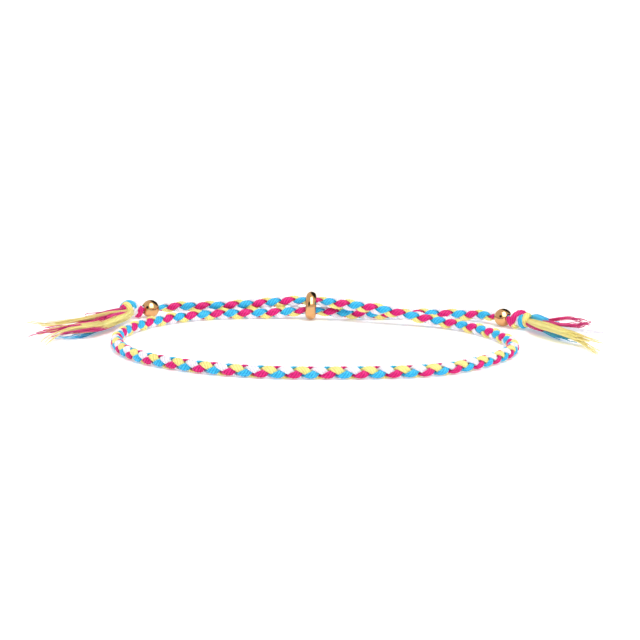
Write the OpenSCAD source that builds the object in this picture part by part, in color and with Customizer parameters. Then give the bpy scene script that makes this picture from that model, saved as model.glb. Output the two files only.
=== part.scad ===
// Braided cord bracelet: four interlaced strands, a slider ring, two end beads, two knots and two tassels.
// All sizes are millimetres. The bracelet lies flat on z = 0, with its tassels and slider at the back.

/* [Braided cord] */
// Outer diameter of the braid where it lies free
cord_d = 2; // [1.8:0.05:2]
// Length of cord in which a strand makes one full turn
turn_length = 4.84; // [4.6:0.02:5.2]

/* [Slider ring] */
// Outer diameter of the ring that gathers both ends of the loop
ring_d = 4.8; // [4.7:0.1:5]
// Diameter of the hole that the two cords share
ring_hole_d = 3.5; // [3.5:0.05:3.6]
// Length of the ring along the cords
ring_length = 1.7; // [1.6:0.1:2.2]
// How far the top of the ring leans towards the right, in degrees
ring_lean = 2; // [0:1:5]
// How far the ring turns to the left, seen from above, in degrees
ring_turn = -2; // [-8:1:0]

/* [End beads] */
// Diameter of each bead
bead_d = 3; // [2.8:0.1:3]
// Diameter of the hole through each bead
bead_hole_d = 1.4; // [1.3:0.05:1.5]

/* [Knots] */
// Outer diameter of each end knot
knot_d = 3.3; // [3:0.1:3.4]
// Thickness of one wrap of a knot
wrap_d = 1.2; // [1:0.05:1.25]

/* [Tassels] */
// Length of each tassel from its knot to its tip
tassel_length = 20; // [18:0.5:22]
// Height of the head that the locks of a tassel grow from
tassel_head_d = 1.8; // [1.6:0.1:2]

/* [Hidden] */

pink = [0.90, 0.08, 0.43];
blue = [0.12, 0.68, 0.92];
yellow = [0.98, 0.92, 0.47];
white = [0.97, 0.97, 0.96];
gold = [0.85, 0.58, 0.38];

// Clearance between neighbours along the cord, round the cord in a bore, and under a knot.
gap = 0.2;
bore_gap = 0.1;
floor_gap = 0.02;

// Middle of the whole outline, which becomes the origin.
outline_middle = [-0.257, -1.309, 0];

// Centreline of the braid, from the left bead through the slider, round the loop and back to the right bead.
// Columns: x to the right, y away from the front, z up.
route = [
    // left free end, held up by the slider
    [-31.2, 21.5, 1.55], [-28.7, 23, 1.5], [-26.1, 23.8, 1.6], [-23.8, 23.7, 1.75],
    [-20.7, 23.3, 1.85], [-16.1, 23.3, 2], [-10.4, 23.4, 2.35], [-5, 22.6, 3.1],
    // through the slider on top, then down over the other end to the right side of the loop
    [-1.4, 21.8, 3.28], [1.3, 20.9, 3.2], [4.6, 19.6, 3], [8.6, 18.5, 2.75],
    [12.9, 17.2, 2.1], [17.2, 15.8, 1.4], [21.5, 13.8, 1.05], [25.1, 10, 1],
    [28.1, 5, 1], [30, -0.7, 1], [30.3, -6.6, 1], [28.2, -12.2, 1],
    // front of the loop, from right to left
    [24.5, -17.6, 1], [20.1, -22.2, 1], [14.6, -24.9, 1], [7.8, -25.9, 1],
    [0, -26.4, 1], [-7.8, -26.3, 1], [-15, -24.2, 1], [-21.8, -20.4, 1],
    // left side of the loop
    [-27.4, -15.5, 1], [-30.8, -8.8, 1], [-32.3, -1.4, 1], [-31.5, 6, 1],
    [-28.4, 12.7, 1], [-24, 18, 1], [-18.6, 21.1, 1], [-12.9, 22.1, 1],
    [-7.9, 22.2, 1.05], [-4.3, 22.2, 1.4],
    // through the slider below, then the right free end
    [-1.5, 22, 1.6], [1.4, 21.7, 1.42], [5, 21.5, 1.12], [9.7, 22.2, 1],
    [15.3, 22.4, 1], [20.7, 22.5, 1], [25.1, 21.7, 1.05], [28, 19.4, 1.35],
    [30.4, 16.5, 1.55], [32.8, 14.8, 1.6]];
left_bead_row = 1;
slider_upper_row = 8;
front_row = 24;
slider_lower_row = 38;
right_bead_row = 46;

function unit(v) = v / norm(v);
function ramp(t) = let (c = min(max(t, 0), 1)) c * c * (3 - 2 * c);

// The route is smoothed by a cubic B-spline that starts and ends on its first and last points.
steps = 8;
last_row = len(route) - 1;
controls = concat([2 * route[0] - route[1]], route, [2 * route[last_row] - route[last_row - 1]]);
function spline(i, t) =
    (pow(1 - t, 3) * controls[i]
     + (3 * pow(t, 3) - 6 * pow(t, 2) + 4) * controls[i + 1]
     + (-3 * pow(t, 3) + 3 * pow(t, 2) + 3 * t + 1) * controls[i + 2]
     + pow(t, 3) * controls[i + 3]) / 6 - outline_middle;
line = [for (i = [0 : last_row - 1], k = [0 : steps - 1]) spline(i, k / steps), spline(last_row - 1, 1)];

// Distance along the cord of every point of the line, and its coordinates by that distance.
distance = [for (i = 0, s = 0; i < len(line); s = s + norm(line[min(i + 1, len(line) - 1)] - line[i]), i = i + 1) s];
by_distance = [for (axis = [0 : 2]) [for (i = [0 : len(line) - 1]) [distance[i], line[i][axis]]]];
function row_distance(row) = distance[row * steps];
function at(s) = [for (axis = [0 : 2]) lookup(s, by_distance[axis])];
heading_reach = 0.6;
function heading(s) = unit(at(s + heading_reach) - at(s - heading_reach));

left_bead_at = row_distance(left_bead_row);
right_bead_at = row_distance(right_bead_row);
slider_upper_at = row_distance(slider_upper_row);
slider_lower_at = row_distance(slider_lower_row);
ring_centre = (at(slider_upper_at) + at(slider_lower_at)) / 2;

// Chord between the flat faces that the hole leaves on a bead.
bead_half = sqrt(pow(bead_d / 2, 2) - pow(bead_hole_d / 2, 2));

// The braid is squeezed where it goes through the slider and the beads, and swells again over squeeze_reach.
ring_squeeze = 0.8;
squeeze_reach = 2.6;
ring_half = ring_length / 2 + 0.3;
bead_squeeze = (bead_hole_d - 2 * bore_gap) / cord_d;
function squeezed(s, middle, half, share) = 1 - (1 - share) * (1 - ramp((abs(s - middle) - half) / squeeze_reach));
function squeeze(s) =
    squeezed(s, slider_upper_at, ring_half, ring_squeeze)
    * squeezed(s, slider_lower_at, ring_half, ring_squeeze)
    * squeezed(s, left_bead_at, bead_half, bead_squeeze)
    * squeezed(s, right_bead_at, bead_half, bead_squeeze);

// A strand has three sections in each half turn: two at the ends of its flat outer stretch, one at the core.
// Columns: distance of its middle from the cord's middle, half its thickness, half its width,
// each as a share of the cord's diameter.
outer_section = [0.376, 0.122, 0.316];
core_section = [0.071, 0.062, 0.178];
strand_sides = 5;

// Where the outer column of pink and blue faces, in degrees up from the horizontal. The braid rolls over slowly
// from the slider to the front of the loop and back.
back_column = -21;
front_column = -34;
function outer_column(s) =
    let (share = min(max((s - slider_upper_at) / (slider_lower_at - slider_upper_at), 0), 1))
    back_column + (front_column - back_column) * (1 - cos(360 * share)) / 2;

// Distance along the cord from the middle of the front to a pink stretch of the outer column.
pink_shift = -1.14;
pink_at = row_distance(front_row) + pink_shift;

// A strand that turns one way or the other. Its outer stretch at over_at faces the outer column, or lead degrees
// above that. Pink and blue turn by -1, yellow and white by +1.
function strand_ring(n, direction, over_at, lead) =
    let (s = over_at + turn_length / 6 * (n - 0.5),
         here = ring_place(n, direction, over_at, lead),
         before = ring_place(n - 1, direction, over_at, lead),
         after = ring_place(n + 1, direction, over_at, lead),
         along = unit(unit(here - before) + unit(after - here)),
         outward = here - at(s),
         across = unit(cross(along, outward)),
         outer = cross(across, along),
         size = section(n) * cord_d * squeeze(s))
    [for (k = [0 : strand_sides - 1])
        let (angle = 90 + 360 * k / strand_sides)
        here + size[1] * sin(angle) * outer - direction * size[2] * cos(angle) * across];
function section(n) = (n % 3 + 3) % 3 == 2 ? core_section : outer_section;
function ring_place(n, direction, over_at, lead) =
    let (s = over_at + turn_length / 6 * (n - 0.5),
         angle = outer_column(s) + lead + direction * 60 * (n - 0.5),
         along = heading(s),
         side = unit(cross([0, 0, 1], along)),
         up = cross(along, side))
    at(s) + section(n)[0] * cord_d * squeeze(s) * (cos(angle) * side + sin(angle) * up);

// Solid through a list of rings with the same number of points, closed at both ends.
// The points of a ring run anticlockwise seen from its far side, or clockwise where mirrored is true.
module skin(rings, mirrored = false) {
    sides = len(rings[0]);
    last = (len(rings) - 1) * sides;
    faces = concat(
        [[for (k = [sides - 1 : -1 : 0]) k]],
        [for (i = [0 : len(rings) - 2], k = [0 : sides - 1], half = [0, 1])
            let (a = i * sides + k, b = i * sides + (k + 1) % sides)
            half == 0 ? [a, b, a + sides] : [b, b + sides, a + sides]],
        [[for (k = [0 : sides - 1]) last + k]]);
    polyhedron(
        points = [for (ring = rings) each ring],
        faces = mirrored ? [for (face = faces) [for (k = [len(face) - 1 : -1 : 0]) face[k]]] : faces);
}

module strand(direction, over_at, lead) {
    first = ceil((left_bead_at - bead_half - over_at) * 6 / turn_length + 0.5);
    last = floor((right_bead_at + bead_half - over_at) * 6 / turn_length + 0.5);
    skin([for (n = [first : last]) strand_ring(n, direction, over_at, lead)], direction > 0);
}

module strand_pink() {
    color(pink) strand(-1, pink_at, 0);
}

module strand_blue() {
    color(blue) strand(-1, pink_at + turn_length / 2, 0);
}

module strand_yellow() {
    color(yellow) strand(1, pink_at - turn_length / 4, 90);
}

module strand_white() {
    color(white) strand(1, pink_at + turn_length / 4, 90);
}

// Ring with a crowned outside, standing on its crown round the two cords.
ring_crown = 0.95;
module slider_ring() {
    crown_at = ring_d / 2 - ring_crown;
    color(gold)
    translate([ring_centre.x, ring_centre.y, crown_at * cos(ring_lean) + ring_crown])
    rotate([0, 90 + ring_lean, ring_turn])
    rotate_extrude($fn = 72)
    intersection() {
        translate([ring_hole_d / 2, -ring_length / 2]) square([ring_d, ring_length]);
        translate([crown_at, 0]) circle(ring_crown, $fn = 48);
    }
}

// Turns the z axis to point along a direction, then moves to a place.
module facing(place, direction) {
    translate(place)
    rotate([0, acos(direction.z / norm(direction)), atan2(direction.y, direction.x)])
    children();
}

module bead(s) {
    color(gold)
    facing(at(s), heading(s))
    difference() {
        sphere(d = bead_d, $fn = 64);
        cylinder(d = bead_hole_d, h = 2 * bead_d, center = true, $fn = 48);
    }
}

module bead_left() {
    bead(left_bead_at);
}

module bead_right() {
    bead(right_bead_at);
}

// Ends of the cord: where each knot sits, and the way it faces.
left_out = -heading(left_bead_at);
right_out = heading(right_bead_at);
knot_half = 0.53 * knot_d;
left_knot_at = at(left_bead_at) + (bead_half + gap + knot_half) * left_out;
right_knot_at = at(right_bead_at) + (bead_half + gap + knot_half) * right_out;

// A knot is a tight core with two wraps round it and a third pulled over them at a slant.
// Columns: place along the knot as a share of its half length, tilt up, tilt sideways.
wraps = [[-0.55, 14, -10], [0.5, -12, 12], [0, 58, 20]];
module knot(place, direction) {
    middle_d = knot_d - wrap_d;
    color(pink)
    translate([0, 0, knot_d / 2 + floor_gap - place.z])
    facing(place, direction) {
        sphere(d = middle_d + 0.4 * wrap_d, $fn = 48);
        cylinder(d = middle_d, h = 2 * knot_half - wrap_d / 2, center = true, $fn = 32);
        for (wrap = wraps)
            translate([0, 0, wrap[0] * knot_half])
            rotate([wrap[1], wrap[2], 0])
            rotate_extrude($fn = 48)
            translate([middle_d / 2, 0])
            circle(d = wrap_d, $fn = 32);
    }
}

module knot_left() {
    knot(left_knot_at, left_out);
}

module knot_right() {
    knot(right_knot_at, right_out);
}

// A tassel is a head with locks that fall from it, spread and lie on the surface.
// Columns: turn of the tip from the tassel's own line in degrees, height of the tip's middle, height of the middle
// of the lock, length as a share of the tassel's, width, thickness.
left_locks = [
    [14, 0.24, 0.6, 1.06, 2.2, 1.05],
    [8, 0.50, 1.2, 1.12, 2.2, 1.05],
    [2, 0.24, 0.6, 1.02, 2.3, 1.05],
    [-4, 0.55, 1.5, 0.95, 2.1, 1.05],
    [-11, 0.24, 0.6, 0.88, 2.0, 1.00],
    [-17, 1.10, 2.0, 0.80, 1.0, 0.60]];
right_locks = [
    [-24, 0.24, 0.6, 1.14, 1.8, 1.00],
    [-16, 0.30, 1.0, 0.94, 2.6, 1.20],
    [-6, 0.50, 1.3, 0.82, 2.5, 1.20],
    [10, 0.40, 0.8, 0.64, 1.9, 1.00],
    [32, 1.50, 3.2, 0.46, 1.7, 1.20],
    [36, 1.20, 1.6, 0.60, 1.0, 0.60]];
lock_sides = 6;
lock_rings = 8;
// Share of its full width and thickness that a lock has along its length.
lock_taper = [[0, 0.6], [0.3, 1], [0.75, 0.9], [1, 0.3]];
// Share of its turn that a lock still has to make before its tip, and the shares of its length over which
// it leaves its head and comes to its tip.
tip_turn = 0.4;
leaving = 0.3;
coming = 0.4;

function turned(v, angle) = [v.x * cos(angle) - v.y * sin(angle), v.x * sin(angle) + v.y * cos(angle), v.z];
function bezier(p, t) =
    pow(1 - t, 3) * p[0] + 3 * pow(1 - t, 2) * t * p[1] + 3 * (1 - t) * pow(t, 2) * p[2] + pow(t, 3) * p[3];
function lock_line(row, root, out, turns) =
    let (size = tassel_length * row[3],
         start = turned(out, turns[0]),
         tip_line = turned(out, turns[1] + row[0]),
         tip = [root.x, root.y, 0] + size * tip_line + [0, 0, row[1]])
    [root, root + leaving * size * start + [0, 0, row[2] - root.z],
     tip - coming * size * turned(tip_line, row[0] * tip_turn) + [0, 0, row[2] - row[1]], tip];
function lock_ring(line, t, row, step = 0.02) =
    let (along = unit(bezier(line, min(t + step, 1)) - bezier(line, max(t - step, 0))),
         across = unit(cross(along, [0, 0, 1])),
         upward = cross(across, along),
         taper = lookup(t, lock_taper))
    [for (k = [0 : lock_sides - 1])
        let (angle = 360 * k / lock_sides)
        bezier(line, t) + taper / 2 * (row[4] * cos(angle) * across + row[5] * sin(angle) * upward)];

module tassel(knot_at, out, turns, locks, colours) {
    flat_out = unit([out.x, out.y, 0]);
    root = [knot_at.x, knot_at.y, knot_d / 2]
        + (knot_half + tassel_head_d / 2) * turned(flat_out, turns[0]);
    color(colours[0])
    translate(root)
    sphere(d = tassel_head_d, $fn = 10);
    for (i = [0 : len(locks) - 1])
        color(colours[i % len(colours)])
        skin([for (k = [0 : lock_rings - 1])
            lock_ring(lock_line(locks[i], root, flat_out, turns), k / (lock_rings - 1), locks[i])]);
}

// How far the head and the middle of each tassel turn from the way its cord ends, in degrees anticlockwise.
left_turns = [31, 23];
right_turns = [22, -3];

module tassel_left() {
    tassel(left_knot_at, left_out, left_turns, left_locks, [yellow, pink, yellow, pink, blue, pink]);
}

module tassel_right() {
    tassel(right_knot_at, right_out, right_turns, right_locks, [blue, yellow, yellow, white, pink, white]);
}

strand_pink();
strand_blue();
strand_yellow();
strand_white();
slider_ring();
bead_left();
bead_right();
knot_left();
knot_right();
tassel_left();
tassel_right();
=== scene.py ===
"""Looks of the braided bracelet: plied strands, wrapped end knots, loose tassels and polished metal."""

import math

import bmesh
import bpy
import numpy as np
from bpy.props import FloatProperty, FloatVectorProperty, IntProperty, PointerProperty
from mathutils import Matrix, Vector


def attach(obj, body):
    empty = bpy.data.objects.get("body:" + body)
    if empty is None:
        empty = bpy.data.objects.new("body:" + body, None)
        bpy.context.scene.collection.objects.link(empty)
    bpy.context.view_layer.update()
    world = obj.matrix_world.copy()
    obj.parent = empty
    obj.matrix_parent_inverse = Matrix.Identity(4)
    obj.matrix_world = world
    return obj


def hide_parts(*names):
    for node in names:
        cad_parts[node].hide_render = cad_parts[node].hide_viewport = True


bl_info = {
    "name": "Braided Bracelet",
    "version": (1, 0, 0),
    "blender": (4, 5, 0),
    "location": "3D View > Sidebar > Bracelet",
    "description": "Builds the strands, knots, tassels, beads and ring of a braided bracelet round its frame",
    "category": "Object",
}

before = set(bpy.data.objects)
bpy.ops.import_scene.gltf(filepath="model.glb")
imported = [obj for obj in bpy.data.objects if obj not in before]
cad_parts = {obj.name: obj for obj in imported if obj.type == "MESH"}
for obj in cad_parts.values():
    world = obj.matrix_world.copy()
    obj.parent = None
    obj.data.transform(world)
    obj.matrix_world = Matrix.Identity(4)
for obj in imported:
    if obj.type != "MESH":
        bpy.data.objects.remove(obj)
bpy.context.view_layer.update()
MM = 0.001
BODY = "root"
UP = np.array([0.0, 0.0, 1.0])

# Centreline of the braid in millimetres, from the left bead through the slider ring, round the loop and back
# through the ring to the right bead: x to the right, y away from the front, z up.
ROUTE = [
    (-31.2, 21.5, 1.55), (-28.7, 23, 1.5), (-26.1, 23.8, 1.6), (-23.8, 23.7, 1.75),
    (-20.7, 23.3, 1.85), (-16.1, 23.3, 2), (-10.4, 23.4, 2.35), (-5, 22.6, 3.1),
    (-1.4, 21.8, 3.28), (1.3, 20.9, 3.2), (4.6, 19.6, 3), (8.6, 18.5, 2.75),
    (12.9, 17.2, 2.1), (17.2, 15.8, 1.4), (21.5, 13.8, 1.05), (25.1, 10, 1),
    (28.1, 5, 1), (30, -0.7, 1), (30.3, -6.6, 1), (28.2, -12.2, 1),
    (24.5, -17.6, 1), (20.1, -22.2, 1), (14.6, -24.9, 1), (7.8, -25.9, 1),
    (0, -26.4, 1), (-7.8, -26.3, 1), (-15, -24.2, 1), (-21.8, -20.4, 1),
    (-27.4, -15.5, 1), (-30.8, -8.8, 1), (-32.3, -1.4, 1), (-31.5, 6, 1),
    (-28.4, 12.7, 1), (-24, 18, 1), (-18.6, 21.1, 1), (-12.9, 22.1, 1),
    (-7.9, 22.2, 1.05), (-4.3, 22.2, 1.4),
    (-1.5, 22, 1.6), (1.4, 21.7, 1.42), (5, 21.5, 1.12), (9.7, 22.2, 1),
    (15.3, 22.4, 1), (20.7, 22.5, 1), (25.1, 21.7, 1.05), (28, 19.4, 1.35),
    (30.4, 16.5, 1.55), (32.8, 14.8, 1.6)]
LEFT_BEAD_ROW, UPPER_SLIDER_ROW, FRONT_ROW, LOWER_SLIDER_ROW, RIGHT_BEAD_ROW = 1, 8, 24, 38, 46
OUTLINE_MIDDLE = np.array([-0.257, -1.309, 0.0])

# The locks of each tassel: colour, half width and half thickness in millimetres, and the places in
# millimetres that the middle of the lock passes from the knot to its tip, in the route's coordinates.
LEFT_LOCKS = [
    ("pink", 0.28, 0.24, [
        (-32.9, 20.3, 2.1), (-33.9, 16.2, 2.4), (-35.5, 14.1, 2.4), (-37, 12, 2.3), (-38.5, 10.5, 2.1)]),
    ("yellow", 0.42, 0.3, [
        (-32.2, 17.9, 1.9), (-34.3, 14.1, 2.3), (-36.4, 11.4, 2.2), (-39.1, 10.3, 1.8), (-42.2, 9.1, 1.5),
        (-44.7, 8.3, 1.3), (-47.4, 10.5, 1.3)]),
    ("pink", 0.62, 0.4, [
        (-32.5, 17.6, 1.7), (-33.6, 13.8, 2), (-34.6, 11.3, 2.1), (-35.7, 9.3, 2), (-37, 8.6, 1.7)]),
    ("pink", 0.35, 0.28, [
        (-35.9, 10.6, 1.6), (-37.9, 8.7, 1.5), (-40.3, 6.8, 1.4), (-42.8, 7.3, 1.2), (-44.7, 5.6, 0.9)]),
    ("yellow", 0.38, 0.28, [
        (-32.2, 18.2, 1.5), (-34.2, 13, 1.5), (-36.2, 9.3, 1.5), (-38.8, 8, 1.4), (-41, 7.2, 1.2),
        (-43, 5.2, 0.9), (-44.6, 2.5, 0.6)]),
    ("yellow", 1.25, 0.55, [
        (-31.8, 17.3, 1.5), (-33, 13.8, 1.5), (-34.2, 10, 1.4), (-35.7, 7, 1.2), (-37.5, 5.6, 1),
        (-39.4, 4.9, 0.8), (-41, 4.6, 0.7)]),
    ("yellow", 0.34, 0.25, [
        (-33.2, 13, 1.2), (-34.6, 8, 1.3), (-36.4, 5.4, 1.6), (-38.4, 4.9, 1.6), (-40, 4.4, 1.4),
        (-41.5, 2.7, 1.1), (-42.5, 0.6, 0.7), (-43.2, -3.1, 0.4)]),
    ("pink", 0.5, 0.36, [
        (-33.3, 13.4, 0.9), (-34.5, 9, 0.9), (-35.6, 5.4, 1.1), (-36.8, 3.6, 1.3), (-38.1, 3, 1.2),
        (-39.6, 3, 1), (-41.2, 2.6, 0.8), (-42.8, 0.6, 0.5)]),
    ("blue", 0.72, 0.35, [
        (-32.6, 20.1, 0.9), (-34.2, 15.1, 0.7), (-36, 9.8, 0.5), (-37.5, 5.2, 0.4), (-38.9, 2.9, 0.4),
        (-40.4, 1.8, 0.4), (-42.2, 1.4, 0.4)]),
    ("white", 0.5, 0.35, [
        (-32.4, 18.1, 1.1), (-34.4, 12.5, 1.1), (-36.9, 8.4, 1), (-39.2, 5.9, 0.8), (-41.2, 3.5, 0.6),
        (-42.8, 1.4, 0.5)]),
    ("pink", 0.4, 0.3, [
        (-40.9, 6.4, 1.1), (-42.8, 3.8, 1.1), (-44.4, 2.5, 1), (-45.5, 2.4, 0.7), (-46.3, 2.1, 0.5)])]
RIGHT_LOCKS = [
    ("blue", 0.75, 0.48, [
        (34.6, 15.2, 1.8), (35.4, 13.6, 2.3), (36.3, 11.9, 2.2), (37.3, 10.7, 1.9), (39, 9.5, 1.3)]),
    ("yellow", 1.05, 0.5, [
        (34.4, 14, 1.6), (35.1, 9.2, 1.9), (36.7, 6, 1.9), (38.6, 2.2, 1.8), (40.6, 0.1, 1.5),
        (42.5, -0.9, 1.1), (44.3, -2.1, 0.7)]),
    ("pink", 0.5, 0.35, [(33.9, 13.1, 1.3), (34.8, 11.3, 1.1), (35.8, 9.2, 0.9), (37.2, 7.7, 0.8)]),
    ("pink", 0.34, 0.28, [
        (36.3, 13.2, 1.6), (37.6, 11.1, 2.1), (38.8, 9.6, 2.7), (40.4, 9.3, 2.9), (42.2, 9.5, 2.6),
        (43.8, 10.3, 1.8)]),
    ("pink", 0.95, 0.48, [
        (36.3, 12.7, 1.6), (37.5, 9.4, 1.8), (38.8, 7.3, 1.9), (40.1, 6.8, 2), (41.6, 7, 2.1),
        (43.8, 10.1, 1.8)]),
    ("blue", 0.6, 0.35, [
        (34.3, 16, 0.9), (36, 11.6, 0.8), (37.2, 8, 0.5), (38.5, 5.1, 0.5), (39.8, 2.5, 0.4),
        (40.7, 0.6, 0.4)]),
    ("white", 0.6, 0.35, [
        (34.6, 14.2, 1.4), (37.2, 8.2, 1.7), (39.9, 5.8, 1.7), (43.4, 5.7, 1.3), (46.2, 5.8, 1)]),
    ("yellow", 0.45, 0.28, [
        (37.7, 5, 1.4), (40, 1.5, 1.1), (41.3, -0.6, 0.7), (42.3, -3.9, 0.4), (43.3, -8.1, 0.3)])]

# The wraps of each knot: colour, where it starts and ends along the knot, from -1 beside the bead to 1 beside
# the tassel, the angle at which it starts in degrees from the top towards the front, the degrees that it goes
# round, and the radius of its middle as a share of the knot's.
LEFT_WRAPS = [
    ("white", -0.55, -0.42, -190, 262, 0.60),
    ("pink", -0.58, -0.66, 68, 240, 0.70),
    ("yellow", 0.70, 0.40, -40, 290, 0.66),
    ("blue", 0.80, 0.02, -110, 175, 0.70),
    ("pink", 0.98, 0.92, -30, 300, 0.36),
    ("white", 0.0, 0.1, 0, 350, 0.42)]
RIGHT_WRAPS = [
    ("pink", -0.62, 0.50, 185, -275, 0.72),
    ("blue", 0.48, 0.60, 40, 265, 0.64),
    ("yellow", 0.92, 0.85, -70, 290, 0.54),
    ("yellow", -0.38, -0.15, 105, 170, 0.72),
    ("pink", -0.80, -0.70, 75, 210, 0.42),
    ("white", 0.0, 0.1, 0, 350, 0.42)]
# How far each knot turns about the vertical from the way that its cord ends, in degrees.
KNOT_TURN = 12


class BraidSizes(bpy.types.PropertyGroup):
    """Sizes of the braid and of the yarn in it"""

    cord_diameter: FloatProperty(
        name="Cord Diameter", description="Outer diameter of the free braid",
        default=2 * MM, unit="LENGTH", precision=4)
    turn_length: FloatProperty(
        name="Turn Length", description="Length of cord in which a strand makes one turn",
        default=4.84 * MM, unit="LENGTH", precision=5)
    back_column: FloatProperty(
        name="Back Column", description="Where the outer column of pink and blue faces at the slider",
        default=math.radians(-21), subtype="ANGLE")
    front_column: FloatProperty(
        name="Front Column",
        description="Where the outer column of pink and blue faces at the front of the loop",
        default=math.radians(-34), subtype="ANGLE")
    pink_shift: FloatProperty(
        name="Pink Shift", description="Distance of a pink stretch from the middle of the front",
        default=-1.14 * MM, unit="LENGTH", precision=5)
    ring_squeeze: FloatProperty(
        name="Ring Squeeze", description="Share of its diameter that the braid keeps in the slider",
        default=0.8, min=0.6, max=1)
    bead_squeeze: FloatProperty(
        name="Bead Squeeze", description="Share of its diameter that the braid keeps in a bead",
        default=0.6, min=0.5, max=1)
    squeeze_reach: FloatProperty(
        name="Squeeze Reach", description="Length in which the braid swells again",
        default=2.6 * MM, unit="LENGTH", precision=4)
    plies: IntProperty(
        name="Plies", description="Threads that are laid up in one strand", default=8, min=3)
    ply_twist: FloatProperty(
        name="Ply Twist", description="Turns of the plies in a metre of strand", default=130)
    ply_depth: FloatProperty(
        name="Ply Depth",
        description="Depth of the groove between plies as a share of a strand's half thickness",
        default=0.38, min=0, max=1)
    bend: FloatProperty(
        name="Bend", description="How far the flat side of a strand bends round the cord, in 1/m",
        default=250)
    ring_step: FloatProperty(
        name="Ring Step", description="Distance between the rings of a strand's mesh",
        default=0.22 * MM, unit="LENGTH", precision=5)


class KnotSizes(bpy.types.PropertyGroup):
    """Sizes of the end knots"""

    diameter: FloatProperty(
        name="Knot Diameter", description="Outer diameter of each knot",
        default=3.3 * MM, unit="LENGTH", precision=4)
    yarn_width: FloatProperty(
        name="Yarn Width", description="Width of one wrap", default=1.15 * MM, unit="LENGTH", precision=5)
    yarn_thickness: FloatProperty(
        name="Yarn Thickness", description="Thickness of one wrap",
        default=0.9 * MM, unit="LENGTH", precision=5)
    ply_depth: FloatProperty(
        name="Ply Depth",
        description="Depth of the groove between plies as a share of a wrap's half thickness",
        default=0.22, min=0, max=1)
    core_diameter: FloatProperty(
        name="Core Diameter", description="Diameter of the yarn inside the wraps",
        default=2.5 * MM, unit="LENGTH", precision=4)


class TasselSizes(bpy.types.PropertyGroup):
    """Sizes of the tassels"""

    plies: IntProperty(
        name="Plies", description="Threads that hold together in one lock", default=15, min=3)
    ply_twist: FloatProperty(
        name="Ply Twist", description="Turns of the threads in a metre of a lock", default=28)
    ply_depth: FloatProperty(
        name="Ply Depth",
        description="Depth of the groove between threads as a share of a lock's half thickness",
        default=0.2, min=0, max=1)
    thread_diameter: FloatProperty(
        name="Thread Diameter", description="Thickness of one loose thread",
        default=0.13 * MM, unit="LENGTH", precision=5)
    threads: IntProperty(
        name="Threads",
        description="Loose threads for each millimetre of a lock's half width and half thickness",
        default=11, min=1)
    fray: FloatProperty(
        name="Fray", description="How far loose threads stray at the tips",
        default=0.6 * MM, unit="LENGTH", precision=5)
    held_share: FloatProperty(
        name="Held Share", description="Share of a lock's length over which its threads hold together",
        default=0.8, min=0.1, max=1)


class BeadSizes(bpy.types.PropertyGroup):
    """Sizes of the metal pieces"""

    bead_diameter: FloatProperty(
        name="Bead Diameter", description="Outer diameter of each bead", default=3 * MM, unit="LENGTH")
    bead_hole: FloatProperty(
        name="Bead Hole", description="Diameter of the hole through a bead",
        default=1.4 * MM, unit="LENGTH", precision=4)
    rim_radius: FloatProperty(
        name="Rim Radius", description="Rounding of the beads' rims",
        default=0.1 * MM, unit="LENGTH", precision=5)
    ring_diameter: FloatProperty(
        name="Ring Diameter", description="Outer diameter of the slider",
        default=4.8 * MM, unit="LENGTH", precision=4)
    ring_hole: FloatProperty(
        name="Ring Hole", description="Diameter of the slider's hole",
        default=3.5 * MM, unit="LENGTH", precision=4)
    ring_length: FloatProperty(
        name="Ring Length", description="Length of the slider along the cords",
        default=1.7 * MM, unit="LENGTH", precision=4)
    ring_crown: FloatProperty(
        name="Ring Crown", description="Radius of the slider's outside along its length",
        default=0.95 * MM, unit="LENGTH", precision=4)
    ring_rim: FloatProperty(
        name="Ring Rim", description="Rounding of the slider's rims",
        default=0.04 * MM, unit="LENGTH", precision=5)
    ring_lean: FloatProperty(
        name="Ring Lean", description="How far the top of the slider leans to the right",
        default=math.radians(2), subtype="ANGLE")
    ring_turn: FloatProperty(
        name="Ring Turn", description="How far the slider turns to the left, seen from above",
        default=math.radians(-2), subtype="ANGLE")
    gap: FloatProperty(
        name="Gap", description="Clearance between a bead and its knot",
        default=0.2 * MM, unit="LENGTH", precision=5)


class Finishes(bpy.types.PropertyGroup):
    """Colours and finish of the yarn and the metal, with painted shade between the yarn's threads and paler
    copies of the yarn that paint light on the tassels
    """

    pink: FloatVectorProperty(
        name="Pink", description="Colour of the pink yarn", subtype="COLOR", default=(0.86, 0.010, 0.24))
    blue: FloatVectorProperty(
        name="Blue", description="Colour of the blue yarn", subtype="COLOR", default=(0.045, 0.60, 0.95))
    yellow: FloatVectorProperty(
        name="Yellow", description="Colour of the yellow yarn", subtype="COLOR", default=(0.98, 0.90, 0.30))
    white: FloatVectorProperty(
        name="White", description="Colour of the white yarn", subtype="COLOR", default=(0.96, 0.94, 0.98))
    # The groove colours are painted shade, mixed into each yarn near the edges of its plies.
    pink_groove_shade: FloatVectorProperty(
        name="Pink Groove Shade", description="Colour between pink threads",
        subtype="COLOR", default=(0.42, 0.0, 0.07))
    blue_groove_shade: FloatVectorProperty(
        name="Blue Groove Shade", description="Colour between blue threads",
        subtype="COLOR", default=(0.008, 0.23, 0.60))
    yellow_groove_shade: FloatVectorProperty(
        name="Yellow Groove Shade", description="Colour between yellow threads", subtype="COLOR",
        default=(0.84, 0.60, 0.20))
    white_groove_shade: FloatVectorProperty(
        name="White Groove Shade", description="Colour between white threads", subtype="COLOR",
        default=(0.72, 0.66, 0.80))
    # This tint makes paler copies of the yarn for the tassels: painted light that makes up for the shade
    # among their loose threads.
    brightened_loose_tint: FloatProperty(
        name="Brightened Loose Tint", description="Strength of the dye's tint in loose threads, which look paler",
        default=0.94, min=0, max=1)
    metal: FloatVectorProperty(
        name="Metal", description="Colour of the plating", subtype="COLOR", default=(0.72, 0.40, 0.17))


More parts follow.
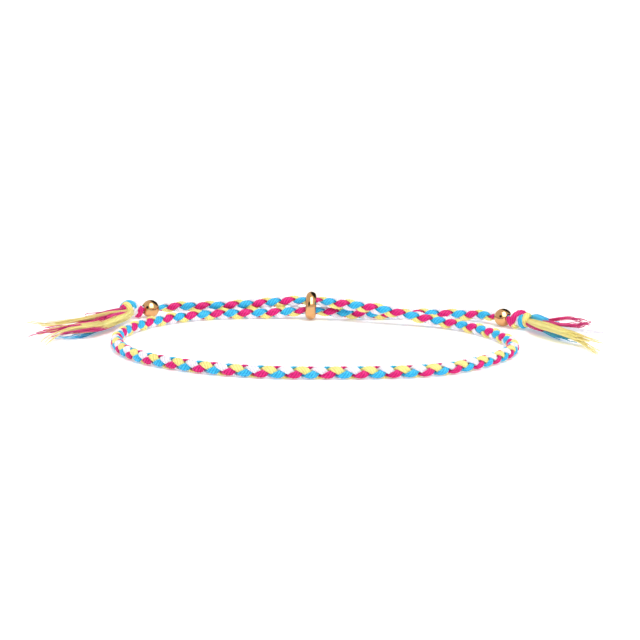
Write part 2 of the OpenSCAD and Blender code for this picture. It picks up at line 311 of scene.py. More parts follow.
class StageLooks(bpy.types.PropertyGroup):
    """Camera, floor and lights"""

    focal_length: FloatProperty(
        name="Focal Length", description="Focal length of the camera in millimetres", default=112.5)
    camera_place: FloatVectorProperty(
        name="Camera Place", description="Place of the camera", subtype="XYZ", unit="LENGTH",
        default=(0.000257, -0.308886, 0.060598))
    camera_tilt: FloatProperty(
        name="Camera Tilt", description="How far the camera looks down",
        default=math.radians(10.352), subtype="ANGLE")
    camera_roll: FloatProperty(
        name="Camera Roll", description="How far the camera leans to one side",
        default=math.radians(0.369), subtype="ANGLE")
    floor_colour: FloatVectorProperty(
        name="Floor Colour", description="Colour of the floor and backdrop", subtype="COLOR",
        default=(0.93, 0.93, 0.93))
    near_glow: FloatProperty(
        name="Near Glow", description="Light of the floor's own beside the bracelet", default=0.25, min=0)
    far_glow: FloatProperty(
        name="Far Glow", description="Light of the floor's own far away", default=0.55, min=0)
    room_light: FloatProperty(
        name="Room Light", description="Strength of the light from all round", default=0.8, min=0)
    key_power: FloatProperty(
        name="Key Power", description="Power of the main light in watts", default=1.4, min=0)
    softbox_power: FloatProperty(
        name="Softbox Power", description="Power of the light that the metal mirrors, in watts",
        default=2.4, min=0)


def ramp(t):
    """Smooth step from 0 to 1 as t goes from 0 to 1."""
    t = np.clip(t, 0, 1)
    return t * t * (3 - 2 * t)


def unit(v):
    """Vectors of length 1 along the last axis."""
    return v / np.linalg.norm(v, axis=-1, keepdims=True)


def smooth_line(rows, steps):
    """Points of a uniform cubic B-spline that starts and ends on the first and last of its rows."""
    controls = np.vstack([2 * rows[0] - rows[1], rows, 2 * rows[-1] - rows[-2]])
    t = np.arange(steps)[:, None] / steps
    weights = np.hstack([
        (1 - t) ** 3, 3 * t ** 3 - 6 * t ** 2 + 4, -3 * t ** 3 + 3 * t ** 2 + 3 * t + 1, t ** 3])
    return np.vstack([*(weights @ controls[i:i + 4] / 6 for i in range(len(rows) - 1)), rows[-1]])


def lengths(line):
    """Distances along a line of its points."""
    return np.concatenate([[0], np.cumsum(np.linalg.norm(np.diff(line, axis=0), axis=1))])


class Cord:
    """Centreline of the braid, measured along its length in metres."""

    STEPS = 24
    REACH = 0.6 * MM

    def __init__(self):
        self.line = smooth_line((np.array(ROUTE) - OUTLINE_MIDDLE) * MM, self.STEPS)
        self.distance = lengths(self.line)

    def row(self, number):
        """Distance along the cord of a row of the route."""
        return self.distance[number * self.STEPS]

    def at(self, s):
        """Places at distances along the cord."""
        return np.stack([np.interp(s, self.distance, axis) for axis in self.line.T], axis=-1)

    def heading(self, s):
        """Directions of the cord at distances along it."""
        return unit(self.at(s + self.REACH) - self.at(s - self.REACH))


cord = Cord()


def wire(tree, socket, value):
    """Links a field or a socket to a socket, or gives it a plain value."""
    value = value.socket if isinstance(value, Field) else value
    if isinstance(value, bpy.types.NodeSocket):
        tree.links.new(value, socket)
    else:
        socket.default_value = value


def set_inputs(tree, node, inputs):
    """Gives a node's inputs their values or links."""
    for name, value in inputs.items():
        wire(tree, node.inputs[name], value)


def add_node(tree, kind, inputs=None, **settings):
    """Adds a node with its settings and the values or links of its inputs."""
    node = tree.nodes.new(kind)
    for name, value in settings.items():
        setattr(node, name, value)
    set_inputs(tree, node, inputs or {})
    return node


class Field:
    """A value in a node tree. Arithmetic on it adds the nodes that work out the result."""

    def __init__(self, tree, socket):
        self.tree = tree
        self.socket = socket
        self.is_vector = socket.type == "VECTOR"

    def worked_out(self, kind, operation, others, output):
        """What a new node makes of this value and the others."""
        inputs = dict(enumerate((self, *others)))
        node = add_node(self.tree, kind, inputs, operation=operation)
        return Field(self.tree, node.outputs[output])

    def math(self, operation, *others):
        """A Math node on this value and the others."""
        return self.worked_out("ShaderNodeMath", operation, others, "Value")

    def vector_math(self, operation, *others):
        """A Vector Math node on this vector and the others."""
        output = "Value" if operation in ("DOT_PRODUCT", "LENGTH") else "Vector"
        return self.worked_out("ShaderNodeVectorMath", operation, others, output)

    def scaled(self, factor):
        """This vector times a number."""
        node = add_node(
            self.tree, "ShaderNodeVectorMath", {"Vector": self, "Scale": factor}, operation="SCALE")
        return Field(self.tree, node.outputs["Vector"])

    def plain(self, operation, other):
        """A Math or a Vector Math node, whichever suits this value."""
        return self.vector_math(operation, other) if self.is_vector else self.math(operation, other)

    def __add__(self, other):
        return self.plain("ADD", other)

    def __sub__(self, other):
        return self.plain("SUBTRACT", other)

    def __mul__(self, other):
        if self.is_vector:
            return self.scaled(other)
        if isinstance(other, Field) and other.is_vector:
            return other.scaled(self)
        return self.math("MULTIPLY", other)

    def __truediv__(self, other):
        return self.math("DIVIDE", other)

    def cross(self, other):
        """The cross product of this vector and another."""
        return self.vector_math("CROSS_PRODUCT", other)

    def unit(self):
        """This vector with a length of 1."""
        return self.vector_math("NORMALIZE")


def combine(tree, x=0.0, y=0.0, z=0.0):
    """A vector from three fields or numbers."""
    node = add_node(tree, "ShaderNodeCombineXYZ", {"X": x, "Y": y, "Z": z})
    return Field(tree, node.outputs["Vector"])


def separate(tree, vector):
    """The three fields of a vector."""
    node = add_node(tree, "ShaderNodeSeparateXYZ", {"Vector": vector})
    return [Field(tree, node.outputs[axis]) for axis in "XYZ"]


def noise(tree, vector, detail, scale=1.0, output="Fac"):
    """Noise over a vector field."""
    node = add_node(tree, "ShaderNodeTexNoise", {"Vector": vector, "Scale": scale, "Detail": detail})
    return Field(tree, node.outputs[output])


MIX_FACTOR, MIX_FIRST, MIX_SECOND, MIX_RESULT = 0, 6, 7, 2


def mix_colours(tree, share, first, second, blend_type="MIX"):
    """One colour blended with another."""
    node = add_node(tree, "ShaderNodeMix", {
        MIX_FACTOR: share, MIX_FIRST: first, MIX_SECOND: second}, data_type="RGBA", blend_type=blend_type)
    return node.outputs[MIX_RESULT]


def new_tree(name, kind, inputs, outputs):
    """A node tree with named sockets, its fields by input name, and its output node."""
    tree = bpy.data.node_groups.new(name, kind)
    for direction, sockets in (("INPUT", inputs), ("OUTPUT", outputs)):
        for label, (socket_type, default) in sockets.items():
            socket = tree.interface.new_socket(label, in_out=direction, socket_type=socket_type)
            if default is not None:
                socket.default_value = default
    source = tree.nodes.new("NodeGroupInput")
    fields = {label: Field(tree, source.outputs[label]) for label in inputs}
    return tree, fields, tree.nodes.new("NodeGroupOutput")


def named(tree, name, data_type="FLOAT"):
    """A named attribute of the guide."""
    node = add_node(tree, "GeometryNodeInputNamedAttribute", {"Name": name}, data_type=data_type)
    return Field(tree, node.outputs["Attribute"])


def sample(tree, geometry, value, index, data_type="FLOAT"):
    """A value of the guide at one of its points."""
    node = add_node(
        tree, "GeometryNodeSampleIndex", {"Geometry": geometry, "Value": value, "Index": index},
        data_type=data_type, domain="POINT", clamp=True)
    return Field(tree, node.outputs["Value"])


def finish_tree(tree, output, geometry, material):
    """Ends a tree with smooth faces, real geometry and its material."""
    smooth = add_node(tree, "GeometryNodeSetShadeSmooth", {"Geometry": geometry})
    real = add_node(tree, "GeometryNodeRealizeInstances", {"Geometry": smooth.outputs["Geometry"]})
    painted = add_node(
        tree, "GeometryNodeSetMaterial", {"Geometry": real.outputs["Geometry"], "Material": material})
    wire(tree, output.inputs["Geometry"], painted.outputs["Geometry"])


def keep_uv(tree, geometry, uv):
    """Stores a vector field as the UV map."""
    node = add_node(
        tree, "GeometryNodeStoreNamedAttribute", {"Name": "UVMap", "Geometry": geometry, "Value": uv},
        data_type="FLOAT2", domain="CORNER")
    return node.outputs["Geometry"]


# Points across one ply, length of the UV map for a metre of yarn, and the distance within which points merge.
SAMPLES_PER_PLY = 5
UV_PER_METRE = 1000
SEAM = 0.0005 * MM


def plied_yarn_tree():
    """A tree that lays twisted plies along a guide, as one closed surface with a groove between neighbours.

    The guide's points hold outward, half_width, half_thickness and distance."""
    tree, given, output = new_tree(
        "Plied Yarn", "GeometryNodeTree",
        {"Geometry": ("NodeSocketGeometry", None), "Plies": ("NodeSocketInt", 8),
         "Twist": ("NodeSocketFloat", 130.0), "Ply Depth": ("NodeSocketFloat", 0.38),
         "Bend": ("NodeSocketFloat", 250.0), "Material": ("NodeSocketMaterial", None)},
        {"Geometry": ("NodeSocketGeometry", None)})
    guide = given["Geometry"]
    count = Field(tree, add_node(
        tree, "GeometryNodeAttributeDomainSize", {"Geometry": guide}).outputs["Point Count"])
    sides = given["Plies"] * SAMPLES_PER_PLY
    grid = add_node(tree, "GeometryNodeMeshGrid", {
        "Size X": 1.0, "Size Y": 1.0, "Vertices X": count, "Vertices Y": sides + 1.0})
    index = Field(tree, tree.nodes.new("GeometryNodeInputIndex").outputs["Index"])
    ring = (index / (sides + 1.0)).math("FLOOR")
    corner = index - ring * (sides + 1.0)

    position = tree.nodes.new("GeometryNodeInputPosition").outputs["Position"]
    here, before, after = (
        sample(tree, guide, position, place, "FLOAT_VECTOR") for place in (ring, ring - 1.0, ring + 1.0))
    outward = sample(tree, guide, named(tree, "outward", "FLOAT_VECTOR"), ring, "FLOAT_VECTOR")
    half_width, half_thickness, distance = (
        sample(tree, guide, named(tree, name), ring) for name in ("half_width", "half_thickness", "distance"))

    along = (after - before).unit()
    across = along.cross(outward).unit()
    outer = across.cross(along)
    share = corner / sides
    angle = share * (2 * math.pi) + distance * given["Twist"] * (2 * math.pi)
    cosine, sine = angle.math("COSINE"), angle.math("SINE")
    sideways = half_width * cosine
    surface = across * sideways + outer * (half_thickness * sine - sideways * sideways * given["Bend"])
    facing = (across * (half_thickness * cosine) + outer * (half_width * sine)).unit()
    crest = (share * given["Plies"] * math.pi).math("SINE").math("ABSOLUTE")
    groove = (crest - 1.0) * given["Ply Depth"] * half_thickness
    place = here + surface + facing * groove
    moved = add_node(tree, "GeometryNodeSetPosition", {"Geometry": grid.outputs["Mesh"], "Position": place})

    u, v, _ = separate(tree, grid.outputs["UV Map"])
    last = sample(tree, guide, named(tree, "distance"), count - 1.0)
    uv = combine(tree, u * last * UV_PER_METRE, v * given["Plies"])
    mapped = keep_uv(tree, moved.outputs["Geometry"], uv)
    closed = add_node(tree, "GeometryNodeMergeByDistance", {"Geometry": mapped, "Distance": SEAM})
    finish_tree(tree, output, closed.outputs["Geometry"], given["Material"])
    return tree


# Loose threads: how far out they lie as a share of their lock's size, how far they turn round it in radians,
# and how far they stray to the side and upwards as a share of the fray.
THREAD_REACH = (0.75, 1.2)
THREAD_TURN = (-2.0, 2.0)
STRAY_SIDEWAYS = (-1.0, 1.0)
STRAY_UPWARDS = (-0.1, 0.5)
# How steeply threads part towards the tip, how far they wander with and without the fray, how many waves that
# takes, and how far apart threads and locks lie in the noise.
FRAY_POWER = 3.0
FRAYED_WANDER, PLAIN_WANDER = 1.6, 0.25 * MM
WANDER_WAVES = 3.0
THREAD_STEP, LOCK_STEP = 7.31, 3.7
# Share of its lock that the shortest thread reaches, sides of a thread, and length of its UV map.
SHORTEST_THREAD = 0.76
THREAD_SIDES = 5
THREAD_UV_LENGTH = 18.0


def loose_threads_tree():
    """A tree that fills a lock of a tassel with loose threads of uneven length.

    The guide's points hold side, half_width, half_thickness and share, which grows from 0 to 1."""
    tree, given, output = new_tree(
        "Loose Threads", "GeometryNodeTree",
        {"Geometry": ("NodeSocketGeometry", None), "Threads": ("NodeSocketInt", 11),
         "Thread Radius": ("NodeSocketFloat", 0.065 * MM), "Fray": ("NodeSocketFloat", 0.6 * MM),
         "Seed": ("NodeSocketInt", 1), "Material": ("NodeSocketMaterial", None)},
        {"Geometry": ("NodeSocketGeometry", None)})
    lines = add_node(tree, "GeometryNodeMeshToCurve", {"Mesh": given["Geometry"]})
    copies = add_node(tree, "GeometryNodeDuplicateElements", {
        "Geometry": lines.outputs["Curve"], "Amount": given["Threads"]}, domain="SPLINE")
    index = tree.nodes.new("GeometryNodeInputIndex").outputs["Index"]
    numbered = add_node(
        tree, "GeometryNodeFieldOnDomain", {"Value": index}, domain="CURVE", data_type="INT")
    thread = Field(tree, numbered.outputs["Value"])

    def chance(low, high, number):
        """A value of each thread's own between two others. The number tells one draw from the next."""
        node = add_node(tree, "FunctionNodeRandomValue", data_type="FLOAT")
        inputs = {"Min": low, "Max": high, "ID": thread, "Seed": given["Seed"] + float(number)}
        for socket in node.inputs:
            if socket.enabled and socket.name in inputs:
                wire(tree, socket, inputs[socket.name])
        return Field(tree, next(socket for socket in node.outputs if socket.enabled))

    share = named(tree, "share")
    side = named(tree, "side", "FLOAT_VECTOR")
    turn = chance(0.0, 2 * math.pi, 1) + share * chance(*THREAD_TURN, 2)
    reach = chance(*THREAD_REACH, 3)
    spread = share.math("POWER", FRAY_POWER) * given["Fray"]
    sideways = (reach * turn.math("COSINE") * named(tree, "half_width")
                + spread * chance(*STRAY_SIDEWAYS, 4))
    upwards = (reach * turn.math("SINE") * named(tree, "half_thickness")
               + spread * chance(*STRAY_UPWARDS, 5))

    where = combine(tree, share * WANDER_WAVES, thread * THREAD_STEP, given["Seed"] * LOCK_STEP)
    wave = noise(tree, where, 1.0, output="Color").vector_math("SUBTRACT", (0.5, 0.5, 0.5))
    wander = wave.scaled(spread * FRAYED_WANDER + share * PLAIN_WANDER)
    position = Field(tree, tree.nodes.new("GeometryNodeInputPosition").outputs["Position"])
    x, y, z = separate(tree, position + side * sideways + wander)
    rested = (z + upwards).math("MAXIMUM", given["Thread Radius"])
    laid = add_node(tree, "GeometryNodeSetPosition", {
        "Geometry": copies.outputs["Geometry"], "Position": combine(tree, x, y, rested)})
    kept = chance(0.0, 1.0, 6) * (1 - SHORTEST_THREAD) + SHORTEST_THREAD
    cut = add_node(tree, "GeometryNodeTrimCurve", {
        "Curve": laid.outputs["Geometry"], "Start": 0.0, "End": kept}, mode="FACTOR")
    uv = keep_uv(tree, cut.outputs["Curve"], combine(tree, share * THREAD_UV_LENGTH, thread + 0.5))
    profile = add_node(tree, "GeometryNodeCurvePrimitiveCircle", {
        "Resolution": THREAD_SIDES, "Radius": given["Thread Radius"]}, mode="RADIUS")
    tubes = add_node(tree, "GeometryNodeCurveToMesh", {
        "Curve": uv, "Profile Curve": profile.outputs["Curve"], "Fill Caps": True})
    finish_tree(tree, output, tubes.outputs["Mesh"], given["Material"])
    return tree


def guide_mesh(name, line):
    """An edge mesh of a guide line, which maps position and attribute names to arrays of its points."""
    mesh = bpy.data.meshes.new(name)
    places = line["position"]
    mesh.from_pydata(places.tolist(), [(i, i + 1) for i in range(len(places) - 1)], [])
    for key, values in line.items():
        if key == "position":
            continue
        is_vector = values.ndim == 2
        attribute = mesh.attributes.new(key, "FLOAT_VECTOR" if is_vector else "FLOAT", "POINT")
        attribute.data.foreach_set("vector" if is_vector else "value", values.astype(np.float32).ravel())
    return mesh


def grow(name, tree, line, values):
    """The plain mesh that a Geometry Nodes tree makes of a guide line."""
    mesh = guide_mesh(name, line)
    maker = bpy.data.objects.new(name + "_guide", mesh)
    bpy.context.collection.objects.link(maker)
    modifier = maker.modifiers.new("Grow", "NODES")
    modifier.node_group = tree
    sockets = {item.name: item.identifier for item in tree.interface.items_tree if item.in_out == "INPUT"}
    for label, value in values.items():
        modifier[sockets[label]] = value
    depsgraph = bpy.context.evaluated_depsgraph_get()
    result = bpy.data.meshes.new_from_object(maker.evaluated_get(depsgraph), depsgraph=depsgraph)
    bpy.data.objects.remove(maker)
    bpy.data.meshes.remove(mesh)
    return result


# The frame has a plain material for each slot. A finish made here has one of these after the slot's name.
# The loose finish is a paler copy of a yarn's finish for the tassels, which paints light on them.
FINISH, LOOSE_FINISH = "_finish", "_brightened_loose_finish"


def add_piece(name, meshes, slot, replaced, finish=FINISH):
    """One object from one or more meshes, with faces that point outwards, riding on the bracelet's body."""
    shape = bmesh.new()
    for mesh in meshes:
        shape.from_mesh(mesh)
    bmesh.ops.recalc_face_normals(shape, faces=shape.faces)
    joined = bpy.data.meshes.new(name)
    shape.to_mesh(joined)
    shape.free()
    joined.materials.append(bpy.data.materials[slot + finish])
    piece = bpy.data.objects.new(name, joined)
    bpy.context.collection.objects.link(piece)
    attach(piece, BODY)
    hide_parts(replaced)


def squeezed(s, middle, half, share, reach):
    """The share of its size that the cord keeps near a place where it is squeezed."""
    return 1 - (1 - share) * (1 - ramp((np.abs(s - middle) - half) / reach))


def bead_half_length(beads):
    """Half the length of a bead along its hole."""
    return math.sqrt(beads.bead_diameter ** 2 - beads.bead_hole ** 2) / 2


# How far beyond the slider's faces the braid is still fully squeezed.
RING_MARGIN = 0.3 * MM


def cord_squeeze(s, sizes, beads):
    """The share of its size that the cord keeps at distances along it."""
    ring = (beads.ring_length / 2 + RING_MARGIN, sizes.ring_squeeze)
    bead = (bead_half_length(beads), sizes.bead_squeeze)
    share = np.ones_like(s)
    for row, (half, kept) in ((UPPER_SLIDER_ROW, ring), (LOWER_SLIDER_ROW, ring),
                              (LEFT_BEAD_ROW, bead), (RIGHT_BEAD_ROW, bead)):
        share = share * squeezed(s, cord.row(row), half, kept, sizes.squeeze_reach)
    return share


# A strand where it lies on the outside, halfway in, and at the core: distance of its middle from the cord's
# middle, half its thickness and half its width, as shares of the cord's radius.
STRAND_PLACE = (0.72, 0.61, 0.28)
STRAND_THICKNESS = (0.26, 0.26, 0.25)
STRAND_WIDTH = (0.64, 0.58, 0.42)
# How long a strand lingers on the outside, in radians, and how far it runs on past its beads, into the knots.
LINGER = 0.26
STRAND_REACH = 0.9 * MM


def outer_column(s, sizes):
    """Where the outer column of pink and blue faces, at distances along the cord."""
    start, end = cord.row(UPPER_SLIDER_ROW), cord.row(LOWER_SLIDER_ROW)
    share = np.clip((s - start) / (end - start), 0, 1)
    towards_front = (1 - np.cos(2 * math.pi * share)) / 2
    return sizes.back_column + (sizes.front_column - sizes.back_column) * towards_front


def between(stages, turn):
    """A smooth value that goes from outside through halfway to the core and back in each half turn."""
    outside, halfway, core = stages
    mean = (outside + core + 2 * halfway) / 4
    return (mean + (outside - core) / 2 * np.cos(2 * turn)
            + (outside + core - 2 * halfway) / 4 * np.cos(4 * turn))


def closing(points):
    """A factor for the size of a yarn that is 1 at every point but the two ends, which it closes."""
    factor = np.ones_like(points)
    factor[[0, -1]] = 0
    return factor


def strand_line(sizes, beads, direction, over_at, lead):
    """Guide of one strand of the braid from knot to knot. At over_at it lies over the outer column, or lead
    further up."""
    reach = bead_half_length(beads) + STRAND_REACH
    first, last = cord.row(LEFT_BEAD_ROW) - reach, cord.row(RIGHT_BEAD_ROW) + reach
    s = np.linspace(first, last, round((last - first) / sizes.ring_step))
    turn = 2 * math.pi * (s - over_at) / sizes.turn_length
    angle = outer_column(s, sizes) + lead + direction * (turn - LINGER * np.sin(2 * turn))
    along = cord.heading(s)
    side = unit(np.cross(UP, along))
    up = np.cross(along, side)
    outward = np.cos(angle)[:, None] * side + np.sin(angle)[:, None] * up
    size = sizes.cord_diameter / 2 * cord_squeeze(s, sizes, beads)
    centre = cord.at(s) + (between(STRAND_PLACE, turn) * size)[:, None] * outward
    return {"position": centre, "outward": outward, "distance": lengths(centre),
            "half_width": between(STRAND_WIDTH, turn) * size * closing(s),
            "half_thickness": between(STRAND_THICKNESS, turn) * size * closing(s)}


class BRACELET_OT_strands(bpy.types.Operator):
    """Build the four plied strands of the braid"""

    bl_idname = "bracelet.strands"
    bl_label = "Braided Strands"

    def execute(self, context):
        sizes = context.scene.braid_sizes
        tree = plied_yarn_tree()
        pink_at = cord.row(FRONT_ROW) + sizes.pink_shift
        half, quarter = sizes.turn_length / 2, sizes.turn_length / 4
        strands = {
            "pink": (-1, pink_at, 0), "blue": (-1, pink_at + half, 0),
            "yellow": (1, pink_at - quarter, math.pi / 2), "white": (1, pink_at + quarter, math.pi / 2)}
        for colour, (direction, over_at, lead) in strands.items():
            slot = f"{colour}_yarn"
            line = strand_line(sizes, context.scene.bead_sizes, direction, over_at, lead)
            mesh = grow(colour, tree, line, {
                "Plies": sizes.plies, "Twist": -direction * sizes.ply_twist, "Ply Depth": sizes.ply_depth,
                "Bend": sizes.bend, "Material": bpy.data.materials[slot + FINISH]})
            add_piece(f"{colour}_strand", [mesh], slot, f"strand_{colour}")
        return {"FINISHED"}


def turned(v, degrees):
    """A vector turned about the vertical."""
    c, s = math.cos(math.radians(degrees)), math.sin(math.radians(degrees))
    return np.array([v[0] * c - v[1] * s, v[0] * s + v[1] * c, v[2]])


# Half the length of a knot as a share of its diameter, and the height at which it rests.
KNOT_HALF_SHARE = 0.53
FLOOR_GAP = 0.02 * MM


def knot_frame(row, sign, knots, beads):
    """Middle of a knot, its directions outwards along the cord and towards the front, and half its length."""
    cord_out = sign * cord.heading(cord.row(row))
    half = KNOT_HALF_SHARE * knots.diameter
    middle = cord.at(cord.row(row)) + (bead_half_length(beads) + beads.gap + half) * cord_out
    middle[2] = knots.diameter / 2 + FLOOR_GAP
    out = turned(unit(cord_out * (1, 1, 0)), KNOT_TURN)
    return middle, out, sign * np.cross(out, UP), half


ENDS = (("left", LEFT_BEAD_ROW, -1, LEFT_WRAPS, LEFT_LOCKS),
        ("right", RIGHT_BEAD_ROW, 1, RIGHT_WRAPS, RIGHT_LOCKS))

# Points of a wrap's guide, how deep its ends dip under the other wraps, and how suddenly.
WRAP_POINTS = 60
DIP_DEPTH, DIP_POWER = 0.7, 0.2
# Points of the core's guide, and the share of the knot's half length that it fills.
CORE_POINTS = 24
CORE_REACH = 0.95


def wrap_line(wrap, place, knots):
    """Guide of one wrap of yarn round a knot. Its ends dip under the other wraps."""
    _, start, end, from_angle, sweep, radius = wrap
    middle, out, front, half = place
    t = np.linspace(0, 1, WRAP_POINTS)
    angle = np.radians(from_angle + sweep * t)
    dip = 1 - DIP_DEPTH * (1 - np.sin(math.pi * t) ** DIP_POWER)
    reach = radius * knots.diameter / 2 * dip
    outward = np.cos(angle)[:, None] * UP + np.sin(angle)[:, None] * front
    centre = middle + (half * (start + (end - start) * ramp(t)))[:, None] * out + reach[:, None] * outward
    return {"position": centre, "outward": outward, "distance": lengths(centre),
            "half_width": knots.yarn_width / 2 * closing(t),
            "half_thickness": knots.yarn_thickness / 2 * closing(t)}


def core_line(place, knots):
    """Guide of the ball of yarn inside the wraps of a knot."""
    middle, out, _, half = place
    angle = np.linspace(-math.pi / 2, math.pi / 2, CORE_POINTS)
    centre = middle + (CORE_REACH * half * np.sin(angle))[:, None] * out
    radius = knots.core_diameter / 2 * np.cos(angle)
    return {"position": centre, "outward": np.tile(UP, (len(angle), 1)), "distance": lengths(centre),
            "half_width": radius, "half_thickness": radius}


class BRACELET_OT_knots(bpy.types.Operator):
    """Wrap the knots outside the beads in yarn of the strands' colours"""

    bl_idname = "bracelet.knots"
    bl_label = "End Knots"

    def execute(self, context):
        knots, braid = context.scene.knot_sizes, context.scene.braid_sizes
        tree = bpy.data.node_groups["Plied Yarn"]
        for end, row, sign, wraps, _ in ENDS:
            place = knot_frame(row, sign, knots, context.scene.bead_sizes)
            for colour in sorted({wrap[0] for wrap in wraps}):
                slot = f"{colour}_yarn"
                yarn = {"Plies": braid.plies, "Twist": braid.ply_twist, "Ply Depth": knots.ply_depth,
                        "Bend": braid.bend, "Material": bpy.data.materials[slot + FINISH]}
                meshes = [grow(colour, tree, wrap_line(wrap, place, knots), yarn)
                          for wrap in wraps if wrap[0] == colour]
                if colour == "white":
                    meshes.append(grow("core", tree, core_line(place, knots), {**yarn, "Bend": 0.0}))
                add_piece(f"{end}_knot_{colour}", meshes, slot, f"knot_{end}")
        return {"FINISHED"}


# Points of a lock's guide between two of its places, and the share of its full size that a lock has along it.
LOCK_STEPS = 7
LOCK_TAPER = ((0, 0.12, 0.4, 0.8, 1), (0.35, 0.6, 1, 0.8, 0.3))
# How steeply the held part of a lock narrows at its end, and how round that end is.
END_STEEPNESS, END_POWER = 6, 0.5
# How far inside its knot a tassel begins, as a share of the knot's half length.
ROOT_SHARE = 0.3


def lock_line(lock, root):
    """Guide of one lock of a tassel, from inside its knot to its tip."""
    _, half_width, half_thickness, places = lock
    rows = np.vstack([root, (np.array(places) - OUTLINE_MIDDLE) * MM])
    centre = smooth_line(rows, LOCK_STEPS)
    along = unit(np.gradient(centre, axis=0))
    side = unit(np.cross(along, UP))
    distance = lengths(centre)
    share = distance / distance[-1]
    taper = np.interp(share, *LOCK_TAPER)
    return {"position": centre, "side": side, "outward": np.cross(side, along), "distance": distance,
            "share": share, "half_width": half_width * MM * taper,
            "half_thickness": half_thickness * MM * taper}


def body_line(line, kept):
    """The part of a lock whose threads hold together, closed at its ends."""
    body = {key: values[line["share"] < kept].copy() for key, values in line.items()}
    for key in ("half_width", "half_thickness"):
        body[key] *= np.clip((kept - body["share"]) * END_STEEPNESS, 0, 1) ** END_POWER
        body[key][[0, -1]] = 0
    return body


class BRACELET_OT_tassels(bpy.types.Operator):
    """Lay the locks of both tassels, with loose threads on them"""

    bl_idname = "bracelet.tassels"
    bl_label = "Tassels"

    def execute(self, context):
        sizes = context.scene.tassel_sizes
        plied, loose = bpy.data.node_groups["Plied Yarn"], loose_threads_tree()
        for end, row, sign, _, locks in ENDS:
            middle, out, _, half = knot_frame(row, sign, context.scene.knot_sizes, context.scene.bead_sizes)
            root = middle + ROOT_SHARE * half * out
            for number, colour in enumerate(sorted({lock[0] for lock in locks})):
                slot = f"{colour}_yarn"
                material = bpy.data.materials[slot + LOOSE_FINISH]
                meshes = []
                for lock in (lock for lock in locks if lock[0] == colour):
                    line = lock_line(lock, root)
                    meshes.append(grow(colour, plied, body_line(line, sizes.held_share), {
                        "Plies": sizes.plies, "Twist": sizes.ply_twist, "Ply Depth": sizes.ply_depth,
                        "Bend": 0.0, "Material": material}))
                    meshes.append(grow(colour, loose, line, {
                        "Threads": round(sizes.threads * (lock[1] + lock[2])), "Fray": sizes.fray,
                        "Thread Radius": sizes.thread_diameter / 2, "Seed": 10 * len(meshes) + 100 * number,
                        "Material": material}))
                add_piece(f"{end}_tassel_{colour}", meshes, slot, f"tassel_{end}", LOOSE_FINISH)
        return {"FINISHED"}


def lathe(outline, middle, direction, segments=96):
    """A closed surface of revolution of an outline of radius and height about a direction."""
    axis = unit(direction)
    first = unit(np.cross(axis, UP))
    second = np.cross(axis, first)
    points, faces = [], []
    count = len(outline)
    for j in range(segments):
        angle = 2 * math.pi * j / segments
        radial = math.cos(angle) * first + math.sin(angle) * second
        points.extend((middle + radius * radial + height * axis).tolist() for radius, height in outline)
        here, after = j * count, (j + 1) % segments * count
        faces.extend(
            (here + i, here + (i + 1) % count, after + (i + 1) % count, after + i) for i in range(count))
    mesh = bpy.data.meshes.new("lathe")
    mesh.from_pydata(points, [], faces)
    mesh.polygons.foreach_set("use_smooth", [True] * len(faces))
    return mesh


def rounded(corners, radius, steps=5):
    """An outline with its sharp corners rounded. A corner is radius, height and whether it is sharp."""
    outline = []
    for i, (r, h, sharp) in enumerate(corners):
        corner = np.array([r, h])
        if not sharp:
            outline.append(tuple(corner))
            continue
        before, after = (np.array(corners[(i + d) % len(corners)][:2]) for d in (-1, 1))
        way_in, way_out = unit(before - corner), unit(after - corner)
        half = math.acos(np.clip(way_in @ way_out, -1, 1)) / 2
        cut = radius / math.tan(half)
        centre = corner + unit(way_in + way_out) * radius / math.sin(half)
        a, b = corner + way_in * cut - centre, corner + way_out * cut - centre
        outline.extend(tuple(centre + radius * unit(a + (b - a) * k / steps)) for k in range(steps + 1))
    return outline


# Points along the outside of a bead's outline and of the slider's.
BEAD_ARC_POINTS, RING_ARC_POINTS = 49, 41


def bead_outline(beads):
    """Outline of a drilled ball."""
    radius, bore = beads.bead_diameter / 2, beads.bead_hole / 2
    limit = math.acos(bore / radius)
    corners = [(radius * math.cos(a), radius * math.sin(a), abs(a) == limit)
               for a in np.linspace(-limit, limit, BEAD_ARC_POINTS)]
    return rounded(corners, beads.rim_radius)


def ring_outline(beads):
    """Outline of the slider: a straight bore in a crowned outside."""
    bore, half, crown = beads.ring_hole / 2, beads.ring_length / 2, beads.ring_crown
    crown_at = beads.ring_diameter / 2 - crown
    limit = math.asin(half / crown)
    arc = [(crown_at + crown * math.cos(a), crown * math.sin(a), abs(a) == limit)
           for a in np.linspace(-limit, limit, RING_ARC_POINTS)]
    return rounded([(bore, -half, True), *arc, (bore, half, True)], beads.ring_rim)


class BRACELET_OT_metal(bpy.types.Operator):
    """Turn the two beads and the slider ring"""

    bl_idname = "bracelet.metal"
    bl_label = "Beads and Slider Ring"

    def execute(self, context):
        beads = context.scene.bead_sizes
        for end, row in (("left", LEFT_BEAD_ROW), ("right", RIGHT_BEAD_ROW)):
            s = cord.row(row)
            mesh = lathe(bead_outline(beads), cord.at(s), cord.heading(s))
            add_piece(f"{end}_bead", [mesh], "rose_gold", f"bead_{end}")
        upper, lower = cord.row(UPPER_SLIDER_ROW), cord.row(LOWER_SLIDER_ROW)
        crown_at = beads.ring_diameter / 2 - beads.ring_crown
        middle = (cord.at(upper) + cord.at(lower)) / 2
        middle[2] = crown_at * math.cos(beads.ring_lean) + beads.ring_crown
        lean, turn = beads.ring_lean, beads.ring_turn
        axis = (math.cos(lean) * math.cos(turn), math.cos(lean) * math.sin(turn), -math.sin(lean))
        add_piece("slider", [lathe(ring_outline(beads), middle, axis)], "rose_gold", "slider_ring")
        return {"FINISHED"}


